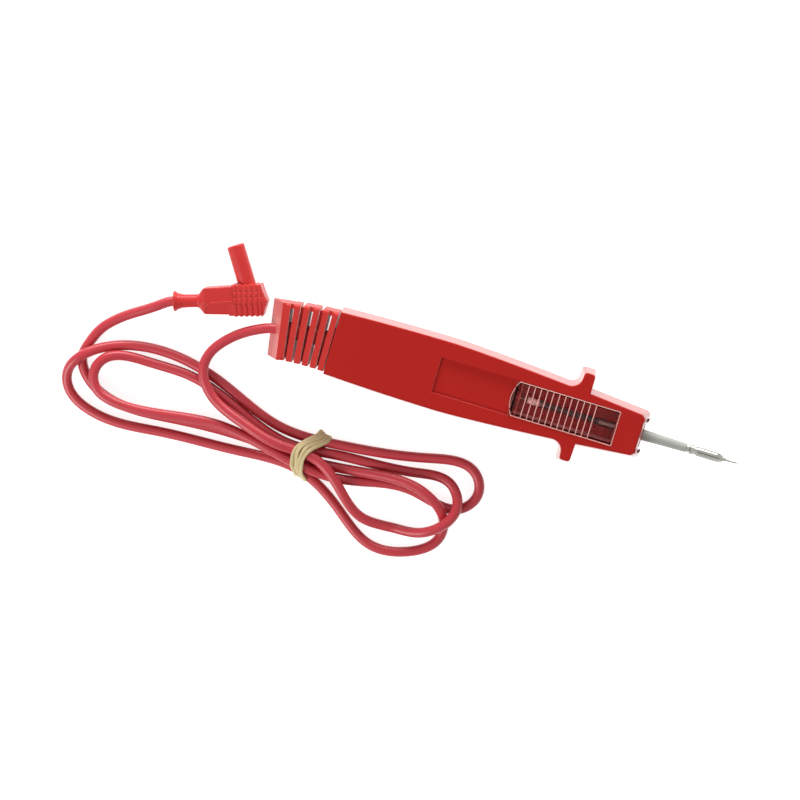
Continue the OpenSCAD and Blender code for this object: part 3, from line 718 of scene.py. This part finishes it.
class PROBE_OT_stage(bpy.types.Operator):
    """Sets the camera, the lamps, the plain sky and the white table"""

    bl_idname = "probe.stage"
    bl_label = "Stage"

    def execute(self, context):
        look = context.scene.test_probe_stage
        self.set_camera(context)
        self.set_lamps(look)
        self.set_sky(context, look)
        self.lay_table(look)
        context.scene.view_settings.view_transform = "Standard"
        return {"FINISHED"}

    def set_camera(self, context):
        """Camera over the table, its axis leaning by two tangents, its picture rolled about it."""
        lean_x, lean_y, roll = np.radians([CAMERA_LEAN_X, CAMERA_LEAN_Y, CAMERA_ROLL])
        back = Vector((np.tan(lean_x), np.tan(lean_y), 1.0)).normalized()
        level = (Vector((1, 0, 0)) - back * back.x).normalized()
        upright = back.cross(level)
        right = np.cos(roll) * level + np.sin(roll) * upright
        up = -np.sin(roll) * level + np.cos(roll) * upright
        lens = bpy.data.cameras.new("camera")
        lens.sensor_fit = "HORIZONTAL"
        lens.angle = 2 * np.arctan(PHOTO_HALF_PIXELS / PHOTO_FOCAL_PIXELS)
        lens.clip_start = 0.05
        place = Matrix((right, up, back)).transposed().to_4x4()
        place.translation = CAMERA_TARGET + CAMERA_DISTANCE * back
        context.scene.camera = new_object("camera", lens)
        context.scene.camera.matrix_world = place

    def set_lamps(self, look):
        for name, power, place, width, height in (
            ("lamp_left", look.soft_light, (-0.6, -0.68, 0.62), 0.5, 0.5),
            ("lamp_beyond", look.side_light, (-0.2, 0.75, 0.14), 0.9, 0.22),
        ):
            light = bpy.data.lights.new(name, "AREA")
            light.shape = "RECTANGLE"
            light.size, light.size_y = width, height
            light.energy = power
            lamp = new_object(name, light)
            lamp.location = place
            lamp.rotation_euler = (LAMP_AIM - lamp.location).to_track_quat("-Z", "Y").to_euler()

    def set_sky(self, context, look):
        """Plain sky: white where it is looked at, mirrored or seen through, dimmer as a light."""
        sky = bpy.data.worlds.new("plain_sky")
        sky.use_nodes = True
        tree = sky.node_tree
        ray = add_node(tree, "LightPath").outputs
        seen = maths(tree, "MAXIMUM", ray["Is Camera Ray"], ray["Is Glossy Ray"])
        seen = maths(tree, "MAXIMUM", seen, ray["Is Transmission Ray"])
        level = blend(tree, seen, look.sky_light, 1.0)
        set_inputs(tree, tree.nodes["Background"], {"Color": (1, 1, 1, 1), "Strength": level})
        context.scene.world = sky

    def lay_table(self, look):
        """White table: paint, and a level of its own that the camera finds less the floor's shadow
        and that a ray mirrored or let through finds whole."""
        table_white, tree, shader = new_material("table_white")
        tree.nodes.remove(shader)
        ray = add_node(tree, "LightPath").outputs
        found = maths(tree, "MAXIMUM", ray["Is Glossy Ray"], ray["Is Transmission Ray"])
        level = maths(tree, "MULTIPLY_ADD", ray["Is Camera Ray"], 1 - look.floor_shadow, found)
        paint = add_node(tree, "BsdfDiffuse", {"Color": (0.8, 0.8, 0.8, 1)})
        white = add_node(tree, "Emission", {"Strength": level})
        both = add_node(tree, "AddShader", {0: paint.outputs[0], 1: white.outputs[0]})
        set_inputs(tree, tree.nodes["Material Output"], {"Surface": both.outputs[0]})
        corners = np.array([(-1, -1, 0), (1, -1, 0), (1, 1, 0), (-1, 1, 0)]) * TABLE_HALF
        mesh = bpy.data.meshes.new("table")
        mesh.from_pydata(corners.tolist(), [], [(0, 1, 2, 3)])
        mesh.materials.append(table_white)
        new_object("table", mesh)


class PROBE_OT_plug(bpy.types.Operator):
    """Builds the angled plug: flared boot, housing, gripped cover, shroud and spring contact"""

    bl_idname = "probe.plug"
    bl_label = "Plug"

    def execute(self, context):
        look = context.scene.test_probe_plug
        housing_red = new_finish("plug_red", look.colour)
        cover_red = new_finish("plug_cover_red", look.cover_colour)
        angle = round_angles(144)
        neck = [self.skin(self.boot_rings())]
        body = [self.skin(self.housing_rings(angle)), self.panel_edge(), self.shroud()]
        grip = [self.skin(*self.cover_rings(look, angle))]
        make_piece("plug_neck", neck, housing_red, 50.0, ("plug_boot",))
        make_piece("plug_body", body, housing_red, 50.0, ("plug_housing",))
        make_piece("plug_grip", grip, cover_red, 40.0, ("plug_cover",))
        make_piece("plug_contact", self.contact(), plated_metal(), 50.0,
                   ("plug_pin", "plug_cage"))
        return {"FINISHED"}

    def skin(self, rings, last_point=None):
        """Closed skin over rings that are given in the plug's own frame."""
        last_point = None if last_point is None else placed(last_point, PLUG_TURN, LEAD_END)
        return closed_skin(placed(rings, PLUG_TURN, LEAD_END), last_point)

    def section_reach(self, angle, half_width):
        """Distance from the axis to the section's outline. A side's reach in a direction is its own
        distance over the cosine between them; the inverse reaches are added as high powers, which
        rounds the corners where two sides meet."""
        half_width = np.atleast_1d(half_width)[:, None]
        run = half_width + FLANK_EDGE
        slope = np.hypot(run, FLANK_DROP)
        flank = (run * PLUG_HALF_HEIGHT - FLANK_DROP * FLANK_EDGE) / slope
        sides = [
            np.cos(angle) / half_width, -np.cos(angle) / half_width,
            np.sin(angle) / PLUG_HALF_HEIGHT, -np.sin(angle) / PLUG_HALF_HEIGHT,
            (run * np.sin(angle) - FLANK_DROP * np.cos(angle)) / slope / flank,
        ]
        inverse = sum(
            np.maximum(side, 0.0) ** CORNER_POWER for side in np.broadcast_arrays(*sides))
        return inverse ** (-1 / CORNER_POWER)

    def boot_rings(self):
        """Turned boot: thin flared flange, a hollow behind it, then the neck to the shoulder."""
        return turned_rings(np.array([
            (0.25, 2.3), (0.25, 4.0), (0.4, 4.35), (0.7, 4.45), (1.0, 4.4), (1.5, 4.0), (2.1, 3.55),
            (2.8, 3.3), (3.0, 3.35), (3.3, 3.3), (3.5, 3.05), (4.5, 2.95), (7.0, 2.82), (9.0, 2.82),
            (11.5, 2.8),
        ]) * MM, 40)

    def housing_rings(self, angle):
        """Housing from the neck to inside the cover: its reach goes from the neck's radius to the
        section's by a smooth step along the shoulder, and its half width grows evenly after it."""
        along = np.concatenate([np.linspace(10.2, 14.6, 30), np.linspace(15.2, 26.6, 12)]) * MM
        swell = smooth_step(along, *SHOULDER)[:, None]
        half_width = np.interp(along, (SHOULDER[1], COVER_ENDS[0]), HOUSING_HALF_WIDTH)
        reach = (1 - swell) * NECK_RADIUS + swell * self.section_reach(angle, half_width)
        return rings_about(along[:, None], reach, angle)

    def cover_rings(self, look, angle):
        """Cover with its grip, worked out in mm: the section's reach, plus the ribs' height times a
        wave along the plug that is clipped to flat tops and floors, and times one less a narrow
        bell round each lengthwise gap. Its front edge steps forward above the flank, its end is a
        low wedge, which also gives the last point."""
        start, end = (value / MM for value in COVER_ENDS)
        wedge = end - 2.6
        along = np.concatenate([
            [start, start + 0.05, start + 0.2], np.linspace(start + 0.4, wedge, 170),
            np.linspace(end - 2.3, end - 0.4, 8), [end - 0.15, end],
        ])
        plain = self.section_reach(angle, COVER_HALF_WIDTH) / MM
        across, height = plain[0] * np.cos(angle), plain[0] * np.sin(angle)
        wave = np.cos(2 * np.pi * (along - GRIP_CROWN) / look.rib_pitch * MM)
        gripped = np.clip(0.5 + 1.5 * wave, 0, 1) * smooth_step(along, *GRIP_START)
        gripped *= 1 - smooth_step(along, wedge, end - 2.2)
        gap = np.zeros(len(angle))
        for row, narrow in GRIP_GAPS:
            gap = np.maximum(gap, np.exp(-(((across - row) / narrow) ** 2)) * (height > 0))
        grip = look.rib_height / MM * gripped[:, None] * (1 - gap[None, :])
        at = (start, start + 0.2, end - 0.4, end - 0.15, end)
        edge = np.interp(along, at, (0.6, 0, 0, 0.08, 0.3))[:, None]
        reach = plain + grip - edge - GRIP_GAP_DEPTH * gap * (edge == 0)
        along = along[:, None]
        front = smooth_step(across, *COVER_STEP_ACROSS) * np.clip(1 - (along - start) / 3, 0, 1)
        fall = COVER_WEDGE / COVER_HALF_WIDTH * np.abs(across - RIDGE_ACROSS / MM)
        fall = fall * np.clip((along - wedge) / (end - wedge), 0, 1)
        place = along + COVER_STEP * front - fall
        rings = rings_about(place, reach, angle) * MM
        rings[..., 2] = np.maximum(rings[..., 2], -PLUG_HALF_HEIGHT)
        return rings, np.array([COVER_ENDS[1], RIDGE_ACROSS, 0.0])

    def panel_edge(self):
        """Raised edge of the bare panel on the flank: a thin round bead along an arch."""
        plan = np.array([
            (13.9, -4.9), (14.3, -3.0), (15.3, -1.4), (17.2, -0.75), (22.0, -0.4), (26.0, -0.2)])
        drop = FLANK_DROP / (np.mean(HOUSING_HALF_WIDTH) + FLANK_EDGE)
        height = PLUG_HALF_HEIGHT / MM + drop * np.minimum(plan[:, 1] - FLANK_EDGE / MM, 0)
        points = np.column_stack([plan, height]) * MM
        path = smooth_route(points, (0.1, 0.9, 0.4), (1.0, 0.1, 0.0), PANEL_BEAD)
        return self.skin(round_tube(path, PANEL_BEAD, 10))

    def on_shroud(self, rings):
        """Rings about X carried to the shroud's axis, and from there into the plug's place."""
        return placed(placed(rings, 90 + SHROUD_TURN, (SHROUD_AT, 0.0, 0.0)), PLUG_TURN, LEAD_END)

    def shroud(self):
        """Turned sleeve: side, a quarter circle in at the rim, and the bore back to its floor."""
        short, narrow = quarter((SHROUD_RADIUS - SHROUD_BORE) * 0.92, 7)
        side = np.column_stack([SHROUD_REACH - short, SHROUD_RADIUS - narrow])
        bore = [(SHROUD_REACH - 0.0001, SHROUD_BORE), (SHROUD_FLOOR, SHROUD_BORE)]
        profile = np.vstack([[(SHROUD_ROOT, SHROUD_RADIUS)], side, bore])
        return closed_skin(self.on_shroud(turned_rings(profile, 56)))

    def contact(self):
        """Pin with six spring blades: a blade's radius is the pin's plus a sine's half wave."""
        pin = turned_rings([(0.007, PIN_RADIUS), (0.0229, PIN_RADIUS), (0.0233, 0.001)], 24)
        shapes = [closed_skin(self.on_shroud(pin))]
        share = np.linspace(0, 1, 24)[:, None]
        bulge = PIN_RADIUS + BLADE_BULGE * np.sin(np.pi * share)
        corners = np.array([(-1, -0.6), (1, -0.6), (1, 0.6), (-1, 0.6)]) * BLADE_HALF_SECTION
        for facing in round_angles(6):
            out = np.array([0.0, np.cos(facing), np.sin(facing)])
            side = np.array([0.0, -np.sin(facing), np.cos(facing)])
            middle = (BLADE_START + BLADE_LENGTH * share) * [1.0, 0.0, 0.0] + bulge * out
            blade = middle[:, None] + corners[None, :, :1] * side + corners[None, :, 1:] * out
            shapes.append(closed_skin(self.on_shroud(blade)))
        return shapes


class PROBE_OT_band(bpy.types.Operator):
    """Winds the rubber band round the hank in twisted turns"""

    bl_idname = "probe.band"
    bl_label = "Rubber band"

    def execute(self, context):
        look = context.scene.test_probe_band
        rubber = new_finish("band_rubber", look.colour)
        turns = looped_skin(self.wound_rings(look))
        make_piece("band_turns", [turns], rubber, 60.0, ("rubber_band",))
        return {"FINISHED"}

    def bundle_reach(self, angle, middle, grow):
        """Distance from the middle to the skin stretched round the strands: over all directions,
        the least of the skin's support there over the cosine of the angle to it."""
        facing = round_angles(720)
        out = np.stack([np.cos(facing), np.sin(facing)], axis=-1)
        support = ((BAND_STRANDS - middle) @ out.T).max(axis=0) + LEAD_DIAMETER / 2
        lean = np.cos(angle[:, None] - facing[None, :])
        reach = (support[None, :] + grow[:, None]) / np.maximum(lean, 0.05)
        return np.where(lean > 0.05, reach, 1.0).min(axis=1)

    def wound_rings(self, look):
        """Closed winding: it goes round the bundle the given number of turns and moves on by one
        pitch a turn, then back to its start under the hank by a smooth step. Over the hank it bows
        by the sine of the angle to the power 0.6, each turn sways a little by its own sine, and its
        oval section, with a cosine and a sine to the power 0.85, rolls slowly as it goes."""
        share = np.linspace(0, 1, 160 * look.turns, endpoint=False)
        angle = 2 * np.pi * look.turns * share - np.pi / 3
        going_back = smooth_step(share * look.turns, look.turns - BAND_RETURN, look.turns)
        turn_number = look.turns * (share - 0.5 - going_back)
        risen = np.maximum(np.sin(angle), 0.0)
        bow = (risen**2 + 0.004) ** 0.3 - 0.004**0.3
        sway = 0.22 * np.sin(2 * angle + 2.1 * np.floor(share * look.turns + 0.3))
        along = look.pitch * (turn_number + sway * risen) - look.bow * bow + 0.0004
        ride = 0.5 + 0.5 * np.sin(2 * np.pi * (2 * look.turns - 1) * share)
        reach = self.bundle_reach(angle, BAND_MIDDLE, look.strand_thickness * (0.5 + 0.35 * ride))
        across, height = BAND_MIDDLE[:, None] + reach * np.stack([np.cos(angle), np.sin(angle)])
        height = np.maximum(height, look.strand_thickness * 0.55)
        path = np.stack([along, across, height], axis=-1)
        way = loop_ways(path)
        flat = unit(np.array([1.0, 0.0, 0.0]) - way * way[:, :1])
        out = np.cross(way, flat)
        roll = 0.3 * np.sin(2 * np.pi * (look.turns + 2) * share)[:, None]
        wide = np.cos(roll) * flat + np.sin(roll) * out
        thick = -np.sin(roll) * flat + np.cos(roll) * out
        around = round_angles(14)
        cosine, sine = (
            0.5 * np.sign(wave) * np.abs(wave) ** 0.85 for wave in (np.cos(around), np.sin(around)))
        oval_wide = (look.strand_width * cosine)[None, :, None] * wide[:, None]
        oval_thick = (look.strand_thickness * sine)[None, :, None] * thick[:, None]
        return placed(path[:, None] + oval_wide + oval_thick, BAND_TURN, (*BAND_AT, 0.0))


class PROBE_OT_lead(bpy.types.Operator):
    """Lays the lead along its route, from the strain relief through the hank to the plug"""

    bl_idname = "probe.lead"
    bl_label = "Lead"

    def execute(self, context):
        look = context.scene.test_probe_lead
        points = np.vstack([[LEAD_EXIT], LEAD_ROUTE, [LEAD_END]])
        path = smooth_route(points, -level_way(RELIEF_BEND), level_way(PLUG_TURN), look.step)
        path[:, 2] = np.maximum(path[:, 2], LEAD_DIAMETER / 2)
        jacket = new_finish("lead_jacket", look.colour)
        skin = closed_skin(round_tube(path, LEAD_DIAMETER / 2, look.sides))
        lead = make_piece("lead_run", [skin], jacket, 60.0, ("lead",))
        dress(jacket, "inner_lead")
        return {"FINISHED"}


class PROBE_OT_casing(bpy.types.Operator):
    """Builds the two halves of the casing, the nose block and the nose's slots, and dresses the
    screws in the back
    """

    bl_idname = "probe.casing"
    bl_label = "Casing"

    def execute(self, context):
        look = context.scene.test_probe_casing
        red = self.glossy_red(look)
        for name, node in (
            ("casing_face_half", "front_shell"), ("casing_back_half", "back_shell"),
            ("nose_block", "nose_bush"),
        ):
            moulded_copy(name, node, red, look.edge_radius)
        # painted shade: the slots' floors are dark plates, a sixth of the casing's colour
        dark = new_finish("nose_slot_painted_shade", shade(look.colour, 0.16))
        make_piece("nose_slot_shade_plates", [self.slot_shade_plate(side) for side in (-1, 1)], dark, 30.0)
        make_piece("nose_slot_rims", [self.slot_rim(side) for side in (-1, 1)], red, 50.0)
        dress(plated_metal(), "housing_screws")
        return {"FINISHED"}

    def glossy_red(self, look):
        """The casing's finish with painted shade along its parting seam. Where the side walls are
        seen at a slant, a coat gives them the pale shine of a polished mould."""
        red = new_finish("casing_red", look.colour, rough=look.roughness)
        tree = red.node_tree
        shader = tree.nodes["Principled BSDF"]
        # painted shade: the seam's dark line, a fifth of the casing's colour
        gaps = use_group(tree, seam_shade_and_gloss, {
            "Colour": shader.inputs["Base Color"].links[0].from_socket,
            "Seam shade colour": rgba(shade(look.colour, 0.2)), "Seam shade width": look.seam_shade_width})
        slant = add_node(tree, "LayerWeight", {"Blend": 0.5})
        rise = add_node(tree, "MapRange", {
            "Value": slant.outputs["Facing"], "From Min": 0.2, "From Max": 0.75,
            "To Max": gaps.outputs["Gloss"]})
        set_inputs(tree, shader, {
            "Base Color": gaps.outputs["Colour"], "Coat Weight": rise.outputs["Result"]})
        return red

    def slot_outline(self, side, grow=0.0):
        """Super-ellipse of power 6 in Y and Z, laid on the nose's slope, whose X falls with the
        height from the parting line to the face."""
        angle = round_angles(72)
        cosine, sine = np.cos(angle), np.sin(angle)
        power = NOSE_SLOT_POWER
        reach = (np.abs(cosine) ** power + np.abs(sine) ** power) ** (-1 / power)
        low, high = NOSE_SLOT_Z
        y = side * (NOSE_SLOT_Y + (NOSE_SLOT_WIDTH / 2 + grow) * reach * cosine)
        z = (low + high) / 2 + side * ((high - low) / 2 + grow) * reach * sine
        return np.stack([NOSE_X + np.interp(z, *NOSE_SLOPE), y, z], axis=-1)

    def slot_rim(self, side):
        """Thin bead round a slot in the nose."""
        return looped_skin(ring_tube(self.slot_outline(side, 0.0001), NOSE_SLOT_BEAD, 10))

    def slot_shade_plate(self, side):
        """Painted shade in a slot: a dark plate of its outline, 0.8 mm thick, just under the slope.
        """
        plan = self.slot_outline(side)
        return closed_skin(np.stack([plan - [0.0009, 0.0, 0.0], plan - [0.0001, 0.0, 0.0]]))


class PROBE_OT_window(bpy.types.Operator):
    """Builds the clear lens with its ribs"""

    bl_idname = "probe.window"
    bl_label = "Window"

    def execute(self, context):
        look = context.scene.test_probe_window
        bars = self.ribs(look)
        # painted highlight: the front ribs and the rim bead are pale
        highlit = new_finish("lens_ribs_painted_highlight", look.rib_colour)
        # painted shade: the two rear ribs get a darker copy of the ribs' colour
        unlit_ribs = new_finish("lens_ribs_painted_shade", tuple(c**2 * 0.36 for c in look.rib_colour))
        make_piece(
            "window_pane", [self.pane(look)], self.clear_red(look), 30.0, ("window_lens",))
        make_piece("window_ribs", bars[:-2] + [self.rim()], highlit, 50.0)
        make_piece("window_rear_ribs", bars[-2:], unlit_ribs, 50.0)
        return {"FINISHED"}

    def outline(self):
        """Plan of the lens: an arc behind and square corners with small radii in front."""
        sweep = np.arcsin(LENS_HALF_WIDTH / LENS_ARC_RADIUS)
        arc = np.linspace(sweep, -sweep, 40)
        near, far = quarter(LENS_CORNER, 6)
        return np.vstack([
            np.column_stack([LENS_FRONT - near, far - LENS_HALF_WIDTH]),
            np.column_stack([LENS_FRONT - far, LENS_HALF_WIDTH - near]),
            np.column_stack([
                LENS_BACK + LENS_ARC_RADIUS * (1 - np.cos(arc)), LENS_ARC_RADIUS * np.sin(arc)]),
        ])

    def drawn_in(self, insets):
        """The plan drawn in towards its middle by each inset, in both directions alike."""
        centre = np.array([(LENS_FRONT + LENS_BACK) / 2, 0.0])
        half = np.array([(LENS_FRONT - LENS_BACK) / 2, LENS_HALF_WIDTH])
        return centre + (self.outline() - centre) * (1 - insets[:, None, None] / half)

    def pane(self, look):
        """Lens as stacked outlines, drawn in at the lower and upper edges by a quarter circle."""
        inset, lift = quarter(look.edge_radius, 6)
        plan = self.drawn_in(np.concatenate([inset, inset[::-1]]))
        height = np.concatenate([LENS_UNDER + lift, LENS_TOP - lift[::-1]])[:, None, None]
        height = np.broadcast_to(height, (*plan.shape[:2], 1))
        return closed_skin(np.concatenate([plan, height], axis=-1))

    def rim(self):
        """Painted highlight on the lens's upper edge: a thin pale round bead along the plan, a
        little inside it.
        """
        plan = self.drawn_in(np.array([0.25 * MM]))[0]
        path = np.column_stack([plan, np.full(len(plan), LENS_TOP - 0.05 * MM)])
        return looped_skin(ring_tube(path, RIM_RADIUS, 10))

    def ribs(self, look):
        """Low half-round bars across the lens. The height and width of each fall to its ends by
        the root of one less the twelfth power of the share of the way across."""
        across = np.linspace(-1, 1, 24)
        swell = np.sqrt(np.clip(1 - np.abs(across) ** 12, 0.02, 1))
        angle = round_angles(12)
        bars = []
        for place in FIRST_RIB_X - RIB_PITCH * np.arange(look.rib_count):
            half_width = look.rib_width / 2 * swell[:, None]
            rings = np.stack([
                place + half_width * np.sin(angle),
                np.repeat((LENS_HALF_WIDTH - 0.0001) * across[:, None], len(angle), axis=1),
                LENS_TOP + RIB_HEIGHT * swell[:, None] * np.cos(angle),
            ], axis=-1)
            bars.append(closed_skin(rings))
        return bars

    def clear_red(self, look):
        """Clear tinted moulding of low index, which mirrors little and shows what is under it."""
        material, tree, shader = new_material("lens_clear_red")
        tone = use_group(tree, moulding_tone, {
            "Colour": rgba(look.colour), "Second colour": rgba(shade(look.colour, 0.93)),
            "Scale": 90.0, "Amount": 0.8})
        marks = use_group(tree, handling_marks, {
            "Roughness": 0.03, "Marked roughness": 0.12, "Share": 0.6})
        set_inputs(tree, shader, {
            "Base Color": tone.outputs["Colour"], "Roughness": marks.outputs["Roughness"],
            "Transmission Weight": 1.0, "IOR": 1.2})
        return material


class PROBE_OT_element(bpy.types.Operator):
    """Dresses the wound element, its caps, the ferrule and the stripped wire under the window"""

    bl_idname = "probe.element"
    bl_label = "Series element"

    def execute(self, context):
        for finish, colour, nodes in (
            # near-white: pale tinned metal, partly a painted highlight
            ("pale_tin_and_painted_highlight", (0.95, 0.93, 0.9), ["wire_ferrule"]),
            ("element_wound", (0.07, 0.045, 0.035), ["resistor"]),
            ("element_tin", (0.26, 0.22, 0.2), ["resistor_cap_front", "resistor_cap_back"]),
            ("stripped_copper", (0.3, 0.15, 0.09), ["bare_wire"]),
        ):
            dress(new_finish(finish, colour), *nodes)
        return {"FINISHED"}


class PROBE_OT_relief(bpy.types.Operator):
    """Builds the slotted strain relief at the lead's end of the casing"""

    bl_idname = "probe.relief"
    bl_label = "Strain relief"

    def execute(self, context):
        look = context.scene.test_probe_relief
        soft_red = new_finish("relief_soft_red", look.colour)
        moulded_copy("relief_ribs", "strain_relief", soft_red, look.edge_radius)
        return {"FINISHED"}


class PROBE_OT_tip(bpy.types.Operator):
    """Dresses the tip: grey sleeve, collar, spring cage and needle"""

    bl_idname = "probe.tip"
    bl_label = "Tip"

    def execute(self, context):
        look = context.scene.test_probe_tip
        dress(new_finish("sleeve_grey", look.sleeve_colour), "tip_sleeve")
        dress(plated_metal(), "tip_collar", "tip_cage", "tip_pin")
        return {"FINISHED"}


OPERATORS = (
    PROBE_OT_stage, PROBE_OT_plug, PROBE_OT_band, PROBE_OT_lead, PROBE_OT_casing,
    PROBE_OT_window, PROBE_OT_element, PROBE_OT_relief, PROBE_OT_tip,
)


class VIEW3D_PT_test_probe(bpy.types.Panel):
    """Lists the probe's pieces and the sizes and colours that shape them"""

    bl_idname = "VIEW3D_PT_test_probe"
    bl_label = "Test probe"
    bl_space_type = "VIEW_3D"
    bl_region_type = "UI"
    bl_category = "Test probe"

    def draw(self, context):
        layout = self.layout
        for operator in OPERATORS:
            layout.operator(operator.bl_idname)
        for name in SETTINGS:
            look = getattr(context.scene, name)
            box = layout.box()
            for setting in look.__class__.__annotations__:
                box.prop(look, setting)


def register():
    for kind in (*SETTINGS.values(), *OPERATORS, VIEW3D_PT_test_probe):
        bpy.utils.register_class(kind)
    for name, kind in SETTINGS.items():
        setattr(bpy.types.Scene, name, PointerProperty(type=kind))


def unregister():
    for name in SETTINGS:
        delattr(bpy.types.Scene, name)
    for kind in (VIEW3D_PT_test_probe, *reversed(OPERATORS), *reversed(SETTINGS.values())):
        bpy.utils.unregister_class(kind)


def main():
    register()
    bpy.ops.probe.stage()
    bpy.ops.probe.plug()
    bpy.ops.probe.band()
    bpy.ops.probe.lead()
    bpy.ops.probe.casing()
    bpy.ops.probe.window()
    bpy.ops.probe.element()
    bpy.ops.probe.relief()
    bpy.ops.probe.tip()


if __name__ == "__main__":
    main()
